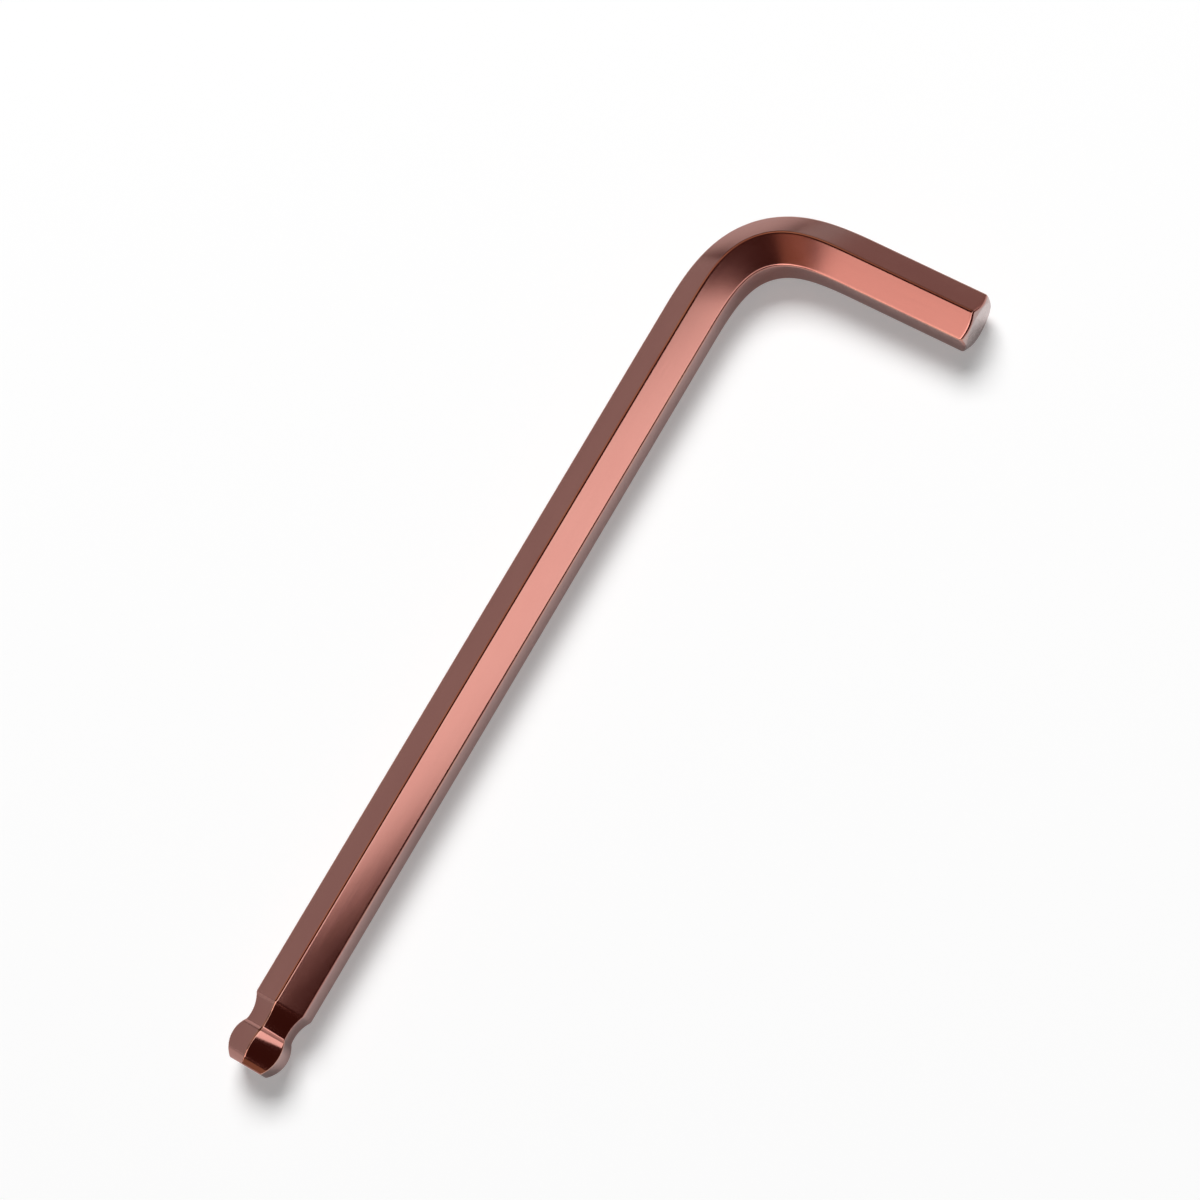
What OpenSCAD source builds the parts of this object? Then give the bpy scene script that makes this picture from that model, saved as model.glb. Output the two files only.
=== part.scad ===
// Ball-end hex key: one bar of drawn hexagon steel, bent once, with a milled
// ball on the long arm and a turned chamfer on the short arm.
// It lies flat on the ridges of its hexagon: the long arm runs along Y with
// the ball towards -Y, the short arm runs along +X, and Z is up.
// The origin is under the middle of the outer box, at the height it rests on.

/* [Hexagon bar] */
// Width across the flats of the bar
key_size = 6; // [5:0.5:7]
// Rounding radius of the six long edges
corner_radius = 0.35; // [0.2:0.05:0.5]

/* [Arms] */
// Length of the long arm, from the tip of the ball to the back of the short arm
long_arm = 111; // [80:1:180]
// Length of the short arm, from its end face to the back of the long arm
short_arm = 31.4; // [28:0.2:50]

/* [Bend] */
// Radius of the bar's centre line at the tightest place, half way round
bend_radius = 7.5; // [7:0.25:9]
// Share of the bend over which it tightens, and over which it opens again
bend_ramp = 0.5; // [0.1:0.05:0.5]
// Share of the bend's stretch that the bar makes up for in its thickness
thickness_share = 0.66; // [0:0.02:0.8]
// Share of the bend's stretch that the bar makes up for in its width
width_share = 0.25; // [0:0.01:0.5]

/* [Ball end] */
// How much smaller the ball is across its flats than the bar
ball_play = 0.06; // [0.02:0.02:0.3]
// Distance from the tip to the widest place of the ball
ball_centre = 2.5; // [2.3:0.1:3]
// Radius of the arched flats of the ball
ball_arch_radius = 3.6; // [3.3:0.1:5]
// Depth of the neck below the flats of the bar
neck_depth = 0.62; // [0.42:0.02:1]
// Distance from the tip to the thinnest place of the neck
neck_centre = 5.1; // [4.8:0.1:5.3]
// Distance from the tip to the shoulder, where the neck runs out into the bar
neck_end = 7.4; // [7.2:0.1:9]

/* [Short end] */
// How far inside the flats the edge of the round end face stands
end_chamfer = 0.35; // [0.1:0.05:1]
// Angle between the chamfer and the end face
end_chamfer_angle = 30; // [15:5:45]

/* [Hidden] */

// Angle between the two arms
bend_angle = 90;
// Points on each rounded edge of the section, and steps round the bend
edge_points = 5;
bend_steps = 44;
// Length by which a cutting shape stands clear of the bar
clear = 2;
// Facet count of the drawn circles
round_steps = 96;

half_size = key_size / 2;
// Distance from the middle of the bar to the ridge of a rounded edge
ridge_reach = (half_size - corner_radius) / cos(30) + corner_radius;

// Bend: length of its centre line, the line itself, and where it ends
bend_length = bend_angle * PI / 180 * bend_radius / (1 - bend_ramp);
bend_path = path_points();
bend_end = bend_path[bend_steps];
long_straight = long_arm - half_size - bend_end[1];
short_straight = short_arm - half_size - bend_end[0];

// Ball end: circles of the arch and of the hollow, as seen from the side, with
// x from the tip along the bar and y out from its middle
arch_middle = [ball_centre, half_size - ball_play / 2 - ball_arch_radius];
hollow_run = neck_end - neck_centre;
hollow_radius = (pow(hollow_run, 2) + pow(neck_depth, 2)) / (2 * neck_depth);
hollow_middle = [neck_centre, half_size - neck_depth + hollow_radius];
// Where the chord that the two circles share lies along the bar
between = hollow_middle - arch_middle;
chord_share =
    (1 + (pow(ball_arch_radius, 2) - pow(hollow_radius, 2)) / pow(norm(between), 2)) / 2;
chord_at = ball_centre + chord_share * between[0];

// Smooth rise from 0 to 1
function smooth_rise(a) = a * a * (3 - 2 * a);

// Curvature at the share s of the bend, as a share of the tightest
function tightness(s) = smooth_rise(min(1, min(s, 1 - s) / bend_ramp));

// Sum of the tightness from the start of the bend to the share s
function ramp_sum(s) = bend_ramp * (pow(s / bend_ramp, 3) - pow(s / bend_ramp, 4) / 2);
function tightness_sum(s) =
    s < bend_ramp ? ramp_sum(s)
    : s > 1 - bend_ramp ? 1 - bend_ramp - ramp_sum(1 - s)
    : s - bend_ramp / 2;

// Direction of the bar at the share s of the bend, turning from the long arm's
function heading(s) = bend_angle * tightness_sum(s) / (1 - bend_ramp);

// Centre line of the bend in the plane of the key, from the end of the long arm
function path_step(i) =
    let (h = heading((i + 0.5) / bend_steps))
        bend_length / bend_steps * [sin(h), cos(h)];
function path_points() = [
    for (i = 0, p = [0, 0]; i <= bend_steps; p = p + path_step(i), i = i + 1) p
];

// Section of the bar: x points out of the bend, y towards the upper ridge
function section() = [
    for (corner = [30:60:330], k = [0:edge_points - 1])
        let (a = corner - 30 + 60 * k / (edge_points - 1))
            (ridge_reach - corner_radius) * [cos(corner), sin(corner)]
            + corner_radius * [cos(a), sin(a)]
];

// A point of the section after the metal has flowed at the curvature c: the bar
// is thinner and narrower outside the bend, thicker and wider inside it
function flowed(p, c) = [
    p[0] - thickness_share * c * pow(p[0], 2) / 2,
    p[1] * (1 - width_share * c * p[0])
];

// Section number i of the bend, turned to its heading and set on the centre line
function bend_section(i) =
    let (s = i / bend_steps, h = heading(s), c = tightness(s) / bend_radius)
        [
            for (p = section())
                let (q = flowed(p, c))
                    [bend_path[i][0] - q[0] * cos(h), bend_path[i][1] + q[0] * sin(h), q[1]]
        ];

// The bend: its sections along the centre line, joined by a skin
module bend() {
    count = len(section());
    skin = [
        for (i = [0:bend_steps - 1], k = [0:count - 1])
            let (a = i * count + k, b = i * count + (k + 1) % count)
                each [[a, a + count, b + count], [a, b + count, b]]
    ];
    start_cap = [for (k = [0:count - 1]) k];
    end_cap = [for (k = [count - 1:-1:0]) bend_steps * count + k];
    polyhedron(
        points = [for (i = [0:bend_steps]) each bend_section(i)],
        faces = concat([start_cap], skin, [end_cap]),
        convexity = 4
    );
}

// What a milled flat leaves of the bar above its middle, seen from the side
module kept_outline() {
    translate(arch_middle)
        circle(r = ball_arch_radius, $fn = round_steps);
    difference() {
        translate([chord_at, 0])
            square([neck_end + hollow_radius, half_size + clear]);
        translate(hollow_middle)
            circle(r = hollow_radius, $fn = round_steps);
    }
}

// Cutter for one flat of the ball and its neck, above a bar that lies along Y
module form_cutter() {
    rotate([90, 0, 90])
        linear_extrude(2 * key_size, center = true)
            difference() {
                translate([-clear, 0])
                    square([neck_end + 2 * clear, half_size + clear]);
                kept_outline();
            }
}

// Long arm, from the bend to the tip, with its six flats milled to the ball
module long_arm_bar() {
    translate([0, -long_straight, 0])
        difference() {
            rotate([-90, 0, 0])
                linear_extrude(long_straight)
                    polygon(section());
            for (flat = [30:60:330])
                rotate([0, flat, 0])
                    form_cutter();
        }
}

// Outline of the turned end: a chamfer that runs out past the ridges
module turned_outline() {
    face = half_size - end_chamfer;
    outside = ridge_reach + clear;
    polygon([
        [0, -clear],
        [outside, -clear],
        [outside, short_straight - (outside - face) * tan(end_chamfer_angle)],
        [face, short_straight],
        [0, short_straight]
    ]);
}

// Short arm, from the bend to its chamfered end
module short_arm_bar() {
    translate([bend_end[0], bend_end[1], 0])
        rotate([90, 0, 90])
            intersection() {
                linear_extrude(short_straight + clear)
                    polygon(section());
                rotate_extrude($fn = round_steps)
                    turned_outline();
            }
}

// The whole key, moved so that its box stands centred on the origin
module hex_key() {
    color([0.77, 0.49, 0.44])
        translate([
            half_size - short_arm / 2,
            long_arm / 2 - half_size - bend_end[1],
            ridge_reach
        ])
            union() {
                long_arm_bar();
                bend();
                short_arm_bar();
            }
}

hex_key();
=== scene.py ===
import math

import bpy
from mathutils import Matrix, Quaternion, Vector


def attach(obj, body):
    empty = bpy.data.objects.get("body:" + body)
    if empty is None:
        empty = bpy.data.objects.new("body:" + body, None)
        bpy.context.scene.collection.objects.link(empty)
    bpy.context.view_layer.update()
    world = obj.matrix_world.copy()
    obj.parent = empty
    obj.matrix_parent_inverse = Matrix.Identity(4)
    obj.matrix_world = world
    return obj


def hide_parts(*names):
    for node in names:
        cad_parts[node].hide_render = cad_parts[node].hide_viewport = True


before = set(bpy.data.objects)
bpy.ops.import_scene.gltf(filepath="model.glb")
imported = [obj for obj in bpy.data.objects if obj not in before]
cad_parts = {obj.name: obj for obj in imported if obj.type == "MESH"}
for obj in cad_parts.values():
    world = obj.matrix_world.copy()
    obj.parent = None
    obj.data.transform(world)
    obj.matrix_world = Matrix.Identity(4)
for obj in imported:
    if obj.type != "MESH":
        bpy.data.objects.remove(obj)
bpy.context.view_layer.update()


# The hexagon bar
# The key is one piece of drawn hexagon steel, 6 mm across its flats, with its
# six long edges lightly rounded by the drawing die. The skin is worked out in
# one node tree, row by row along the bar and column by column round it.

key_size = 0.006
corner_radius = 0.00035
long_arm = 0.111
short_arm = 0.0314

half_size = key_size / 2
ridge_reach = (half_size - corner_radius) / math.cos(math.pi / 6) + corner_radius


class Worked:
    """A value that a node tree works out at every point, written as a plain sum."""

    def __init__(self, tree, socket):
        self.tree = tree
        self.socket = socket

    def by(self, operation, *others):
        """This value, and the others, put through one Math node."""
        step = self.tree.nodes.new("ShaderNodeMath")
        step.operation = operation
        for place, value in zip(step.inputs, (self, *others)):
            feed(self.tree, place, value)
        return Worked(self.tree, step.outputs[0])

    def share(self, start, end):
        """How far this value has come from start to end, from 0 to 1."""
        step = self.tree.nodes.new("ShaderNodeMapRange")
        feed(self.tree, step.inputs["Value"], self)
        feed(self.tree, step.inputs["From Min"], start)
        feed(self.tree, step.inputs["From Max"], end)
        return Worked(self.tree, step.outputs["Result"])

    def __add__(self, other):
        return self.by("ADD", other)

    def __sub__(self, other):
        return self.by("SUBTRACT", other)

    def __mul__(self, other):
        return self.by("MULTIPLY", other)

    def __truediv__(self, other):
        return self.by("DIVIDE", other)

    def __rsub__(self, other):
        return self * -1 + other

    __radd__ = __add__
    __rmul__ = __mul__


def feed(tree, place, value):
    """Links a worked value to a socket, or sets a plain one on it."""
    if isinstance(value, Worked):
        tree.links.new(value.socket, place)
    else:
        place.default_value = value


def point_of(tree, x, y, z):
    """Three worked values as one point."""
    step = tree.nodes.new("ShaderNodeCombineXYZ")
    for place, value in zip(step.inputs, (x, y, z)):
        feed(tree, place, value)
    return Worked(tree, step.outputs[0])


skin = bpy.data.node_groups.new("Bent hexagon key", "GeometryNodeTree")
skin.interface.new_socket("Geometry", in_out="INPUT", socket_type="NodeSocketGeometry")
skin.interface.new_socket("Geometry", in_out="OUTPUT", socket_type="NodeSocketGeometry")
skin_sizes = skin.nodes.new("NodeGroupInput")
key_sizes = {}


def size_input(name, size):
    """A named input of the tree, and the size that this key gives it."""
    socket = skin.interface.new_socket(name, in_out="INPUT", socket_type="NodeSocketFloat")
    key_sizes[socket.identifier] = size
    return Worked(skin, skin_sizes.outputs[name])


# Rows of the skin along each part of the key, from the tip to the end face
rows_along = {
    "tip face": 3,
    "ball": 36,
    "neck": 24,
    "shoulder": 1,
    "long arm": 30,
    "bend": 132,
    "short arm": 10,
    "end margin": 1,
    "flat rounding": 6,
    "chamfer": 1,
    "face rounding": 4,
    "end face": 3,
}
rows = 0
first_row = {}
for part, part_rows in rows_along.items():
    first_row[part] = rows
    rows += part_rows

# Columns round the section: on each side the steps over a rounded edge, then
# those over a flat
edge_steps = 6
flat_steps = 10
side_steps = edge_steps + flat_steps
columns = 6 * side_steps

# A flat sheet, from -0.5 to 0.5 both ways, which becomes the skin
sheet = skin.nodes.new("GeometryNodeMeshGrid")
sheet.inputs["Size X"].default_value = 1
sheet.inputs["Size Y"].default_value = 1
sheet.inputs["Vertices X"].default_value = columns + 1
sheet.inputs["Vertices Y"].default_value = rows + 1
sheet_place = skin.nodes.new("ShaderNodeSeparateXYZ")
skin.links.new(skin.nodes.new("GeometryNodeInputPosition").outputs[0], sheet_place.inputs[0])

marked = skin.nodes.new("GeometryNodeCaptureAttribute")
marked.domain = "POINT"
marked.capture_items.new("FLOAT", "Column")
marked.capture_items.new("FLOAT", "Row")
skin.links.new(sheet.outputs["Mesh"], marked.inputs["Geometry"])
for name, axis, steps in (("Column", "X", columns), ("Row", "Y", rows)):
    across = Worked(skin, sheet_place.outputs[axis])
    feed(skin, marked.inputs[name], ((across + 0.5) * steps).by("ROUND"))
column = Worked(skin, marked.outputs["Column"])
row = Worked(skin, marked.outputs["Row"])


def part_share(name, at=row):
    """How far the row is along one part of the key."""
    return at.share(first_row[name], first_row[name] + rows_along[name])


# The rounded hexagon: each column's corner, its turn over the rounded edge and
# its way over the flat
bar_half = size_input("Half of the width across flats", half_size)
bar_edge = size_input("Radius of the long edges", corner_radius)
corner_turn = math.radians(60)
corner = (column / side_steps).by("FLOOR")
step_on_side = column - corner * side_steps
corner_angle = corner * corner_turn + corner_turn / 2
edge_turn = corner_angle + (step_on_side.share(0, edge_steps) - 0.5) * corner_turn
# The first and the last step over a flat are slim, so that it looks flat up to
# its edges
slim_step = 0.02
flat_share = (
    step_on_side.share(edge_steps, edge_steps + 1) * slim_step
    + step_on_side.share(edge_steps + 1, side_steps - 1) * (1 - 2 * slim_step)
    + step_on_side.share(side_steps - 1, side_steps) * slim_step
)


# The ball end
# A form cutter has milled each of the six flats to an arch and a hollow, which
# meet in a crease. The milled edges are crisp, softened only by the plating.

ball_play = 0.00006
ball_centre = 0.0025
arch_size = 0.0036
neck_depth = 0.00062
neck_centre = 0.0051
neck_end = 0.0074
milled_edge = 0.00016

arch_height = half_size - ball_play / 2 - arch_size
hollow_size = ((neck_end - neck_centre) ** 2 + neck_depth**2) / (2 * neck_depth)
hollow_height = half_size - neck_depth + hollow_size
# Where the circles of the arch and of the hollow meet
middles_apart = Vector((neck_centre - ball_centre, hollow_height - arch_height))
chord_share = (1 + (arch_size**2 - hollow_size**2) / middles_apart.length_squared) / 2
chord_reach = math.sqrt(arch_size**2 - chord_share**2 * middles_apart.length_squared)
crease = (
    ball_centre
    + chord_share * middles_apart.x
    + chord_reach * middles_apart.y / middles_apart.length
)

tip_to_widest = size_input("Tip to the widest place of the ball", ball_centre)
arch_radius = size_input("Radius of the ball's arch", arch_size)
arch_level = size_input("Height of the arch's middle", arch_height)
tip_to_neck = size_input("Tip to the thinnest place of the neck", neck_centre)
hollow_radius = size_input("Radius of the neck's hollow", hollow_size)
hollow_level = size_input("Height of the hollow's middle", hollow_height)
tip_to_crease = size_input("Tip to the crease", crease)
tip_to_shoulder = size_input("Tip to the shoulder", neck_end)
milled_radius = size_input("Radius of the milled edges", milled_edge)


def circle_height(along, middle, radius):
    """Height of a circle above its middle, at a distance along the bar."""
    off = along - middle
    return (radius * radius - off * off).by("MAXIMUM", 0).by("SQRT")


from_tip = part_share("ball") * tip_to_crease
from_tip = from_tip + part_share("neck") * (tip_to_shoulder - tip_to_crease)
arch = arch_level + circle_height(from_tip, tip_to_widest, arch_radius)
hollow = hollow_level - circle_height(from_tip, tip_to_neck, hollow_radius)
on_ball = row.by("LESS_THAN", first_row["neck"])
on_bar = row.by("GREATER_THAN", first_row["shoulder"] - 0.5)
milled_half = arch * on_ball + hollow * (1 - on_ball)
half = bar_half * on_bar + milled_half * (1 - on_bar)

# The milled flats cut the bar's rounded edges down to crisp ones
slant = 1 / math.cos(corner_turn / 2)
bar_reach = (bar_half - bar_edge) * slant + bar_edge
edge = ((half * slant - bar_reach) / (slant - 1)).by("MAXIMUM", milled_radius)


# The turned end of the short arm
# The bar was cut square, and a chamfer was turned round the cut at 30 degrees
# to the face, so it runs out in a curve on every flat. Tumbling before the
# plating has rounded its two edges.

end_chamfer = 0.00035
chamfer_angle = math.radians(30)
flat_rounding = 0.00045
face_rounding = 0.00015

face_radius = size_input("Radius of the end face", half_size - end_chamfer)
chamfer_turn = size_input("Angle between the chamfer and the face", chamfer_angle)
# Length that each rounding takes from the lines on its two sides
flat_take = size_input(
    "Reach of the rounding at the flats",
    flat_rounding * math.tan((math.pi / 2 - chamfer_angle) / 2),
)
face_take = size_input(
    "Reach of the rounding at the face",
    face_rounding * math.tan(chamfer_angle / 2),
)

# A point of the section before bending: out of the bend, and up
centre_reach = (half - edge) * slant
next_angle = corner_angle + corner_turn
straight_out = (
    centre_reach
    * (
        corner_angle.by("COSINE") * (1 - flat_share)
        + next_angle.by("COSINE") * flat_share
    )
    + edge * edge_turn.by("COSINE")
)
straight_up = (
    centre_reach
    * (
        corner_angle.by("SINE") * (1 - flat_share)
        + next_angle.by("SINE") * flat_share
    )
    + edge * edge_turn.by("SINE")
)
reach = (straight_out * straight_out + straight_up * straight_up).by("SQRT")
chamfer_length = (reach - face_radius) / chamfer_turn.by("COSINE")
chamfer_depth = chamfer_length * chamfer_turn.by("SINE")


def down_chamfer(at):
    """How far the turned skin has come down the slope of the chamfer at a row."""
    leaving = part_share("flat rounding", at)
    arriving = part_share("face rounding", at)
    down = leaving * leaving * flat_take
    down = down + part_share("chamfer", at) * (chamfer_length - flat_take - face_take)
    return down + arriving * (2 - arriving) * face_take


def turned_inwards(at):
    """How far the turned skin has come towards the bar's middle at a row."""
    arriving = part_share("face rounding", at)
    return down_chamfer(at) * chamfer_turn.by("COSINE") + arriving * arriving * face_take


def turned_forwards(at):
    """How far the turned skin has come along the bar at a row."""
    leaving = part_share("flat rounding", at)
    return leaving * (2 - leaving) * flat_take + down_chamfer(at) * chamfer_turn.by("SINE")


inwards = turned_inwards(row)
scale = part_share("tip face") * (1 - part_share("end face")) * (1 - inwards / reach)
out = straight_out * scale
up = straight_up * scale


# The bend
# The bar was bent cold round a former. It is tightest half way round, and its
# metal flowed: it is thinner and narrower outside the bend, thicker inside it.

bend_radius = 0.0075
bend_ramp = 0.5
bend_angle = math.radians(90)
thickness_share = 0.66
width_share = 0.25
bend_length = bend_angle * bend_radius / (1 - bend_ramp)


def smooth_rise(share):
    """Rises smoothly from 0 to 1."""
    return share * share * (3 - 2 * share)


def ramp_sum(share):
    """Sum of the tightness over the first ramp, up to this share of the bend."""
    risen = share / bend_ramp
    return bend_ramp * (risen * risen * risen - risen * risen * risen * risen / 2)


def least(one, other):
    """The lesser of two values, worked or plain."""
    if isinstance(one, Worked):
        return one.by("MINIMUM", other)
    return min(one, other)


def most(one, other):
    """The greater of two values, worked or plain."""
    if isinstance(one, Worked):
        return one.by("MAXIMUM", other)
    return max(one, other)


def heading(share):
    """Direction of the bar at this share of the bend, turned from the long arm's."""
    before = ramp_sum(least(share, bend_ramp))
    between = least(most(share, bend_ramp), 1 - bend_ramp) - bend_ramp
    after = bend_ramp / 2 - ramp_sum(least(1 - share, bend_ramp))
    return (before + between + after) * (bend_angle / (1 - bend_ramp))


bend_reach = 0
for step in range(rows_along["bend"]):
    turned = heading((step + 0.5) / rows_along["bend"])
    bend_reach += bend_length / rows_along["bend"] * math.sin(turned)

long_straight = size_input(
    "Length of the straight long arm", long_arm - half_size - bend_reach
)
short_straight = size_input(
    "Length of the straight short arm", short_arm - half_size - bend_reach
)
bend_line = size_input("Length of the bend's centre line", bend_length)
bend_size = size_input("Radius of the bend at its tightest", bend_radius)
flow_in = size_input("Share of the stretch in the thickness", thickness_share)
flow_across = size_input("Share of the stretch in the width", width_share)


# Slim rows beside the shoulder and the turned end keep the arms' flats flat
margin = 0.00015


def distance_along(at):
    """Distance from the tip to a row, along the centre line."""
    return (
        part_share("ball", at) * tip_to_crease
        + part_share("neck", at) * (tip_to_shoulder - tip_to_crease)
        + part_share("shoulder", at) * margin
        + part_share("long arm", at) * (long_straight - tip_to_shoulder - margin)
        + part_share("bend", at) * bend_line
        + part_share("short arm", at) * (short_straight - chamfer_depth - flat_take - margin)
        + part_share("end margin", at) * margin
        + turned_forwards(at)
    )


# The centre line is summed up from row to row, in each column on its own
along = distance_along(row)
step_length = distance_along(row + 1) - along
step_heading = heading(part_share("bend", row + 0.5))
centre_line = skin.nodes.new("GeometryNodeAccumulateField")
centre_line.data_type = "FLOAT_VECTOR"
centre_line.domain = "POINT"
step_vector = point_of(
    skin,
    step_length * step_heading.by("SINE"),
    step_length * step_heading.by("COSINE"),
    0,
)
feed(skin, centre_line.inputs["Value"], step_vector)
feed(skin, centre_line.inputs["Group ID"], column)
centre = skin.nodes.new("ShaderNodeSeparateXYZ")
skin.links.new(centre_line.outputs["Trailing"], centre.inputs[0])

row_share = part_share("bend")
row_heading = heading(row_share)
tightness = smooth_rise(least(least(row_share, 1 - row_share) / bend_ramp, 1))
curvature = tightness / bend_size
flowed_out = out - flow_in * curvature * out * out / 2
flowed_up = up * (1 - flow_across * curvature * out)

tip = Vector((half_size - short_arm / 2, -long_arm / 2, ridge_reach))
shaped = skin.nodes.new("GeometryNodeSetPosition")
skin.links.new(marked.outputs["Geometry"], shaped.inputs["Geometry"])
key_place = point_of(
    skin,
    Worked(skin, centre.outputs["X"]) - flowed_out * row_heading.by("COSINE") + tip.x,
    Worked(skin, centre.outputs["Y"]) + flowed_out * row_heading.by("SINE") + tip.y,
    flowed_up + tip.z,
)
feed(skin, shaped.inputs["Position"], key_place)


# The plating
# Thin copper-coloured plating over the whole key. It follows the finish below:
# drawn lines along the bar, cutter marks across the ball, turned rings at the
# end. It is rubbed a little brighter along the ridges.

# Where each point lay on the straight bar, so that marks follow it round the bend
remembered = skin.nodes.new("GeometryNodeStoreNamedAttribute")
remembered.data_type = "FLOAT_VECTOR"
remembered.domain = "POINT"
remembered.inputs["Name"].default_value = "straight_bar"
skin.links.new(shaped.outputs["Geometry"], remembered.inputs["Geometry"])
feed(skin, remembered.inputs["Value"], point_of(skin, out, up, along))


def effect_group(name, inputs, outputs):
    """An empty shader group with named sockets, and the worked values of its inputs."""
    group = bpy.data.node_groups.new(name, "ShaderNodeTree")
    kinds = {"value": "NodeSocketFloat", "place": "NodeSocketVector"}
    for label, kind in inputs.items():
        group.interface.new_socket(label, in_out="INPUT", socket_type=kinds[kind])
    for label in outputs:
        group.interface.new_socket(label, in_out="OUTPUT", socket_type=kinds["value"])
    given = group.nodes.new("NodeGroupInput")
    made = group.nodes.new("NodeGroupOutput")
    values = [Worked(group, given.outputs[label]) for label in inputs]
    return group, values, made.inputs


def noise_at(tree, place, detail, roughness):
    """Soft noise at a place, one patch to a unit."""
    noise = tree.nodes.new("ShaderNodeTexNoise")
    noise.inputs["Scale"].default_value = 1
    noise.inputs["Detail"].default_value = detail
    noise.inputs["Roughness"].default_value = roughness
    feed(tree, noise.inputs["Vector"], place)
    return Worked(tree, noise.outputs["Fac"])


def divided(tree, place, parts):
    """A place counted in parts of the given size along each axis."""
    step = tree.nodes.new("ShaderNodeVectorMath")
    step.operation = "DIVIDE"
    feed(tree, step.inputs[0], place)
    feed(tree, step.inputs[1], parts)
    return Worked(tree, step.outputs[0])


tool_marks, (place, mark_size), made = effect_group(
    "Tool marks", {"Place": "place", "Mark size": "place"}, ["Height"]
)
marks = noise_at(
    tool_marks, divided(tool_marks, place, mark_size), detail=1, roughness=0.5
)
feed(tool_marks, made["Height"], marks)

plating_tone, (place, patch_size), made = effect_group(
    "Plating tone", {"Place": "place", "Patch size": "place"}, ["Tone"]
)
patches = noise_at(
    plating_tone, divided(plating_tone, place, patch_size), detail=4, roughness=0.6
)
darkest_patch = 0.3
lightest_patch = 0.7
feed(plating_tone, made["Tone"], patches.share(darkest_patch, lightest_patch))

# The ridge is where the section reaches furthest, set against its nearest flat.
# On the sharpest ridge it would reach as far as the slant.
full_ridge = slant - 0.01
rubbed_ridge, (place, ridge_start), made = effect_group(
    "Rubbed ridge", {"Place": "place", "Ridge start": "value"}, ["Ridge"]
)
section = rubbed_ridge.nodes.new("ShaderNodeSeparateXYZ")
feed(rubbed_ridge, section.inputs[0], place)
section_out = Worked(rubbed_ridge, section.outputs["X"])
section_up = Worked(rubbed_ridge, section.outputs["Y"])
nearest_flat = section_out.by("ABSOLUTE")
for side in (-1, 1):
    leaning = section_out / 2 + section_up * (side * math.sin(corner_turn))
    nearest_flat = nearest_flat.by("MAXIMUM", leaning.by("ABSOLUTE"))
section_reach = (section_out * section_out + section_up * section_up).by("SQRT")
ridge = (section_reach / nearest_flat).share(ridge_start, full_ridge)
feed(rubbed_ridge, made["Ridge"], ridge)


def effect(material, group, **values):
    """Places an effect group in a material, with that material's own values."""
    placed = material.nodes.new("ShaderNodeGroup")
    placed.node_tree = group
    for label, value in values.items():
        feed(material, placed.inputs[label.replace("_", " ")], value)
    return Worked(material, placed.outputs[0])


def colour_mix(tree, share, one, other):
    """A colour between two, by a worked share."""
    mix = tree.nodes.new("ShaderNodeMix")
    mix.data_type = "RGBA"
    # Sockets 1 to 5 are for numbers and vectors, 6 and 7 for the two colours
    feed(tree, mix.inputs[0], share)
    feed(tree, mix.inputs[6], one)
    feed(tree, mix.inputs[7], other)
    return Worked(tree, mix.outputs[2])


# What the three finishes share: the size of the plating's patches, how far the
# ridges are rubbed, and how much tone, marks and rubbing change the gloss
plating_patch = (0.004, 0.004, 0.012)
rubbed_from = 1.10
rubbed_tones = (0.2, 0.8)
rubbed_most = 0.6
tone_in_gloss = 0.03
marks_in_gloss = 0.04
rubbing_in_gloss = 0.03


def plating(name, dark, light, rubbed, gloss, coat_gloss, mark_size, mark_height, rings=False):
    """The plating over one finish: its colours, its gloss and the marks below it."""
    finish = bpy.data.materials.new(name)
    finish.use_nodes = True
    tree = finish.node_tree
    surface = tree.nodes["Principled BSDF"]
    straight = tree.nodes.new("ShaderNodeAttribute")
    straight.attribute_name = "straight_bar"
    place = Worked(tree, straight.outputs["Vector"])
    marks_place = place
    if rings:
        apart = tree.nodes.new("ShaderNodeSeparateXYZ")
        feed(tree, apart.inputs[0], place)
        across = Worked(tree, apart.outputs["X"])
        high = Worked(tree, apart.outputs["Y"])
        marks_place = point_of(tree, (across * across + high * high).by("SQRT"), 0, 0)
    marks = effect(tree, tool_marks, Place=marks_place, Mark_size=mark_size)
    tone = effect(tree, plating_tone, Place=place, Patch_size=plating_patch)
    ridge = effect(tree, rubbed_ridge, Place=place, Ridge_start=rubbed_from)
    rubbing = ridge * tone.share(*rubbed_tones)
    colour = colour_mix(tree, tone, dark, light)
    colour = colour_mix(tree, rubbing * rubbed_most, colour, rubbed)
    feed(tree, surface.inputs["Base Color"], colour)
    roughness = (
        gloss
        + (tone - 0.5) * tone_in_gloss
        + (marks - 0.5) * marks_in_gloss
        - rubbing * rubbing_in_gloss
    )
    feed(tree, surface.inputs["Roughness"], roughness)
    surface.inputs["Metallic"].default_value = 1
    surface.inputs["Coat Weight"].default_value = 1
    surface.inputs["Coat Roughness"].default_value = coat_gloss
    bump = tree.nodes.new("ShaderNodeBump")
    bump.inputs["Strength"].default_value = 1
    bump.inputs["Distance"].default_value = mark_height
    feed(tree, bump.inputs["Height"], marks)
    tree.links.new(bump.outputs["Normal"], surface.inputs["Normal"])
    return finish


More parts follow.
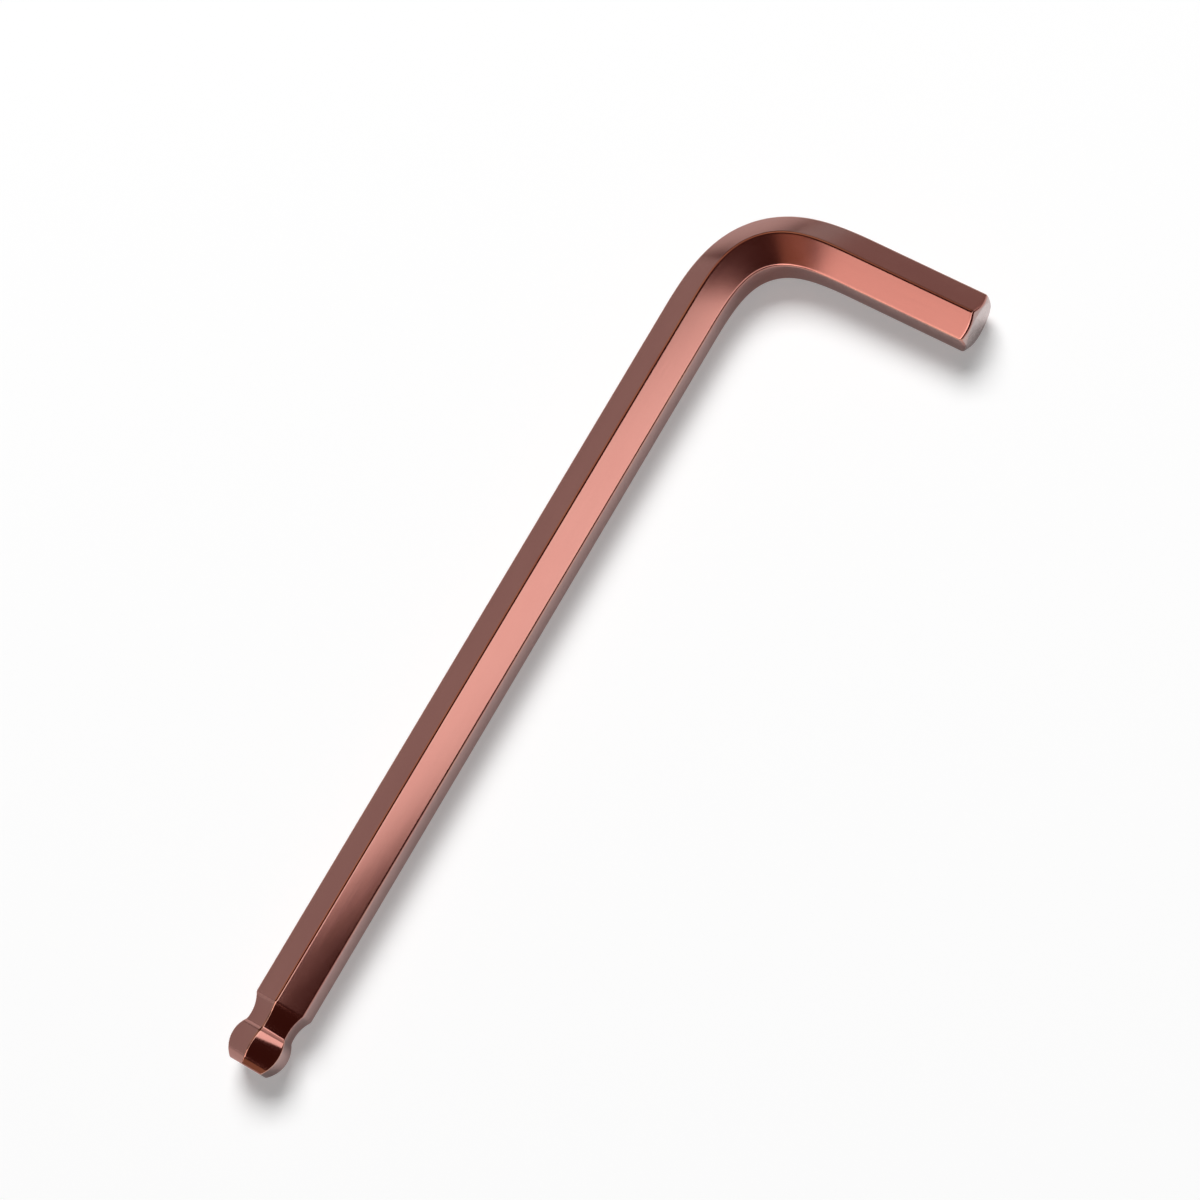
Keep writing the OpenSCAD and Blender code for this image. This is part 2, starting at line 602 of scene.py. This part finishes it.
drawn_finish = plating(
    "drawn_plating",
    dark=(0.485, 0.192, 0.155, 1),
    light=(0.525, 0.216, 0.174, 1),
    rubbed=(0.60, 0.30, 0.21, 1),
    gloss=0.165,
    coat_gloss=0.14,
    mark_size=(0.00016, 0.00016, 0.012),
    mark_height=0.0000005,
)
milled_finish = plating(
    "milled_plating",
    dark=(0.475, 0.186, 0.150, 1),
    light=(0.52, 0.212, 0.170, 1),
    rubbed=(0.62, 0.32, 0.22, 1),
    gloss=0.075,
    coat_gloss=0.06,
    mark_size=(0.004, 0.004, 0.00012),
    mark_height=0.0000003,
)
turned_finish = plating(
    "turned_plating",
    dark=(0.49, 0.335, 0.315, 1),
    light=(0.55, 0.395, 0.375, 1),
    rubbed=(0.62, 0.38, 0.32, 1),
    gloss=0.28,
    coat_gloss=0.2,
    mark_size=(0.00009, 1, 1),
    mark_height=0.0000008,
    rings=True,
)


# The whole key
# One closed skin: the first column is joined to the last, and each row on the
# axis to a single point. It stands in the place of the solid key.

joining_distance = 0.000001
softened_from = math.radians(16)
softened_width = 0.00010
softened_steps = 4

joined = skin.nodes.new("GeometryNodeMergeByDistance")
joined.inputs["Distance"].default_value = joining_distance
skin.links.new(remembered.outputs["Geometry"], joined.inputs["Geometry"])
smooth = skin.nodes.new("GeometryNodeSetShadeSmooth")
skin.links.new(joined.outputs["Geometry"], smooth.inputs["Geometry"])
realized = skin.nodes.new("GeometryNodeRealizeInstances")
skin.links.new(smooth.outputs["Geometry"], realized.inputs["Geometry"])
last = realized
for finish, chosen in (
    (drawn_finish, None),
    (milled_finish, row.by("LESS_THAN", first_row["shoulder"])),
    (turned_finish, row.by("GREATER_THAN", first_row["chamfer"])),
):
    plated = skin.nodes.new("GeometryNodeSetMaterial")
    plated.inputs["Material"].default_value = finish
    if chosen is not None:
        feed(skin, plated.inputs["Selection"], chosen)
    skin.links.new(last.outputs["Geometry"], plated.inputs["Geometry"])
    last = plated
skin_made = skin.nodes.new("NodeGroupOutput")
skin.links.new(last.outputs["Geometry"], skin_made.inputs["Geometry"])

blank = bpy.data.objects.new("key_blank", bpy.data.meshes.new("key_blank"))
bpy.context.scene.collection.objects.link(blank)
skin_modifier = blank.modifiers.new("Bent hexagon key", "NODES")
skin_modifier.node_group = skin
for identifier, size in key_sizes.items():
    skin_modifier[identifier] = size
softened = blank.modifiers.new("Softened edges", "BEVEL")
softened.limit_method = "ANGLE"
softened.angle_limit = softened_from
softened.width = softened_width
softened.segments = softened_steps
softened.use_clamp_overlap = True
# Smooth shading leans towards the large faces, so that the flats stay flat
weighted = blank.modifiers.new("Flat faces stay flat", "WEIGHTED_NORMAL")
weighted.weight = 90
weighted.thresh = 0

bpy.context.view_layer.update()
blank_made = blank.evaluated_get(bpy.context.evaluated_depsgraph_get())
key_mesh = bpy.data.meshes.new_from_object(blank_made)
key_mesh.name = "plated_key"
# The first slot is left over from the blank, and empty
key_mesh.materials.pop(index=0)
plated_key = bpy.data.objects.new("plated_key", key_mesh)
bpy.context.scene.collection.objects.link(plated_key)
bpy.data.objects.remove(blank)

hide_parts("hex_key")
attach(plated_key, "root")


# The floor
# A plain near-white table top, large enough to fill every view, with painted
# shade that makes it a little darker far from the key. Its own glow shows only
# to the camera and in reflections, and leaves the key's soft shadow.

floor_reach = 3.0
floor_roughness = 0.9
near_colour = (0.77, 0.77, 0.77, 1)
far_painted_shade = (0.52, 0.52, 0.52, 1)
# Distances from the key over which the near colour turns to the far colour of the painted
# shade
painted_shade_reach = (0.115, 0.22)
glow_to_camera = 0.31
glow_in_mirror = 0.14
# The key mirrors the glow from a pool in front of its inner corner, which fades
# between these distances from its middle
pool_middle = (0.05, -0.01, 0)
pool_reach = (0.085, 0.105)

floor_mesh = bpy.data.meshes.new("floor")
floor_corners = [
    (-floor_reach, -floor_reach, 0),
    (floor_reach, -floor_reach, 0),
    (floor_reach, floor_reach, 0),
    (-floor_reach, floor_reach, 0),
]
floor_mesh.from_pydata(floor_corners, [], [(0, 1, 2, 3)])
floor = bpy.data.objects.new("floor", floor_mesh)
bpy.context.scene.collection.objects.link(floor)

table_top = bpy.data.materials.new("table_top")
table_top.use_nodes = True
tree = table_top.node_tree
surface = tree.nodes["Principled BSDF"]
surface.inputs["Roughness"].default_value = floor_roughness
surface.inputs["Specular IOR Level"].default_value = 0
surface.inputs["Emission Color"].default_value = (1, 1, 1, 1)
ray = tree.nodes.new("ShaderNodeLightPath")
seen_in_mirror = Worked(tree, ray.outputs["Is Glossy Ray"]).by(
    "MAXIMUM", Worked(tree, ray.outputs["Is Transmission Ray"])
)
on_table = tree.nodes.new("ShaderNodeTexCoord").outputs["Object"]


def distance_from(point):
    """Distance on the table from a point."""
    step = tree.nodes.new("ShaderNodeVectorMath")
    step.operation = "DISTANCE"
    tree.links.new(on_table, step.inputs[0])
    step.inputs[1].default_value = point
    return Worked(tree, step.outputs["Value"])


# Painted shade: the table top's colour turns darker with distance from the key
tone = distance_from((0, 0, 0)).share(*painted_shade_reach)
feed(tree, surface.inputs["Base Color"], colour_mix(tree, tone, near_colour, far_painted_shade))
in_pool = 1 - distance_from(pool_middle).share(*pool_reach)
glow = (
    Worked(tree, ray.outputs["Is Camera Ray"]) * glow_to_camera
    + seen_in_mirror * in_pool * glow_in_mirror
)
feed(tree, surface.inputs["Emission Strength"], glow)
floor_mesh.materials.append(table_top)


# The studio
# A slim white panel close over the long arm and a softbox in front, which the
# upper flats mirror; dim panels round about for the other flats; a lamp over
# the table; and a dark room all round.


def soft_panel(name, place, faces, width, height, brightness, colour=(1, 1, 1), roll=0):
    """A soft panel of light. A brightness of 1 looks white in a mirror."""
    lamp = bpy.data.lights.new(name, "AREA")
    lamp.shape = "RECTANGLE"
    lamp.size = width
    lamp.size_y = height
    lamp.color = colour
    lamp.energy = brightness * math.pi * width * height
    panel = bpy.data.objects.new(name, lamp)
    bpy.context.scene.collection.objects.link(panel)
    panel.location = place
    panel.rotation_mode = "QUATERNION"
    turned_away = (-Vector(faces)).to_track_quat("Z", "Y")
    panel.rotation_quaternion = turned_away @ Quaternion((0, 0, 1), math.radians(roll))
    panel.visible_camera = False
    return panel


def round_the_key(azimuth, elevation, distance=1):
    """A place seen from the key in this direction, in degrees."""
    level = distance * math.cos(math.radians(elevation))
    return Vector((
        level * math.cos(math.radians(azimuth)),
        level * math.sin(math.radians(azimuth)),
        distance * math.sin(math.radians(elevation)),
    ))


def far_panel(
    name, azimuth, elevation, width, height, brightness, colour=(1, 1, 1), distance=0.7
):
    """A soft panel that faces the key from further away."""
    place = round_the_key(azimuth, elevation, distance)
    return soft_panel(name, place, -place, width, height, brightness, colour)


near_panel = soft_panel(
    "near panel",
    place=(0.0414, 0.0042, 0.0742),
    faces=-round_the_key(-28, 11.3),
    width=0.200,
    height=0.033,
    brightness=1.54,
    roll=9.2,
)
near_panel.visible_diffuse = False

# The panels that only the metal mirrors: azimuth and elevation in degrees, width
# and height in metres, brightness, and colour
softbox_colour = (1, 0.83, 0.785)
far_panels = {
    "front softbox": (-87.5, 39, 0.586, 0.378, 1.56, softbox_colour),
    "front strip": (-105, 14, 0.17, 0.22, 2.2, softbox_colour),
    "front table glow": (-70, 9, 0.36, 0.20, 0.27, (1, 0.74, 0.47)),
    "right panel": (62, 20, 0.20, 0.20, 0.5, (1, 1, 1)),
    "front ceiling glow": (-86, 60, 0.26, 0.15, 0.27, (1, 0.56, 0.36)),
    "back panel": (83.5, 13, 0.90, 0.30, 0.255, (1, 0.90, 0.88)),
    "back table glow": (111, 6, 0.24, 0.08, 0.26, (0.40, 0.90, 1)),
    "left panel": (-166, 12, 1.20, 0.36, 0.40, (0.90, 0.98, 1)),
    "ceiling glow": (150, 48, 0.80, 0.56, 0.45, (1, 0.72, 0.50)),
}
for name, (azimuth, elevation, width, height, brightness, colour) in far_panels.items():
    panel = far_panel(name, azimuth, elevation, width, height, brightness, colour)
    panel.visible_diffuse = False

table_lamp = far_panel(
    "table lamp",
    azimuth=124,
    elevation=56,
    width=2.1,
    height=2.1,
    brightness=12.45,
    distance=4,
)
table_lamp.visible_glossy = False

# The key mirrors the room dark and brownish, and the table sees it a neutral grey
room_grey = (0.04, 0.04, 0.04, 1)
room_in_mirror = (0.056, 0.018, 0.014, 1)
room = bpy.data.worlds.new("room")
bpy.context.scene.world = room
room.use_nodes = True
room_light = room.node_tree.nodes["Background"]
ray = room.node_tree.nodes.new("ShaderNodeLightPath")
mirrored = Worked(room.node_tree, ray.outputs["Is Glossy Ray"])
room_colour = colour_mix(room.node_tree, mirrored, room_grey, room_in_mirror)
feed(room.node_tree, room_light.inputs["Color"], room_colour)
room_light.inputs["Strength"].default_value = 1


# The camera
# It looks down on the key from the side of the inner corner, a little rolled,
# as the photograph does.

camera_place = Vector((0.100098, -0.055149, 0.346943))
camera_target = Vector((-0.005451, 0.006355, 0.00341))
camera_roll = math.radians(30.6806)

lens = bpy.data.cameras.new("camera")
lens.lens = 101.379
lens.sensor_width = 36
lens.clip_start = 0.01
lens.clip_end = 20
camera = bpy.data.objects.new("camera", lens)
bpy.context.scene.collection.objects.link(camera)
forward = (camera_target - camera_place).normalized()
level_up = (Vector((0, 0, 1)) - forward * forward.z).normalized()
camera_up = math.cos(camera_roll) * level_up
camera_up += math.sin(camera_roll) * forward.cross(level_up)
camera_right = forward.cross(camera_up)
turn = Matrix((camera_right, camera_up, -forward)).transposed()
camera.matrix_world = Matrix.Translation(camera_place) @ turn.to_4x4()
bpy.context.scene.camera = camera
bpy.context.scene.view_settings.view_transform = "Standard"
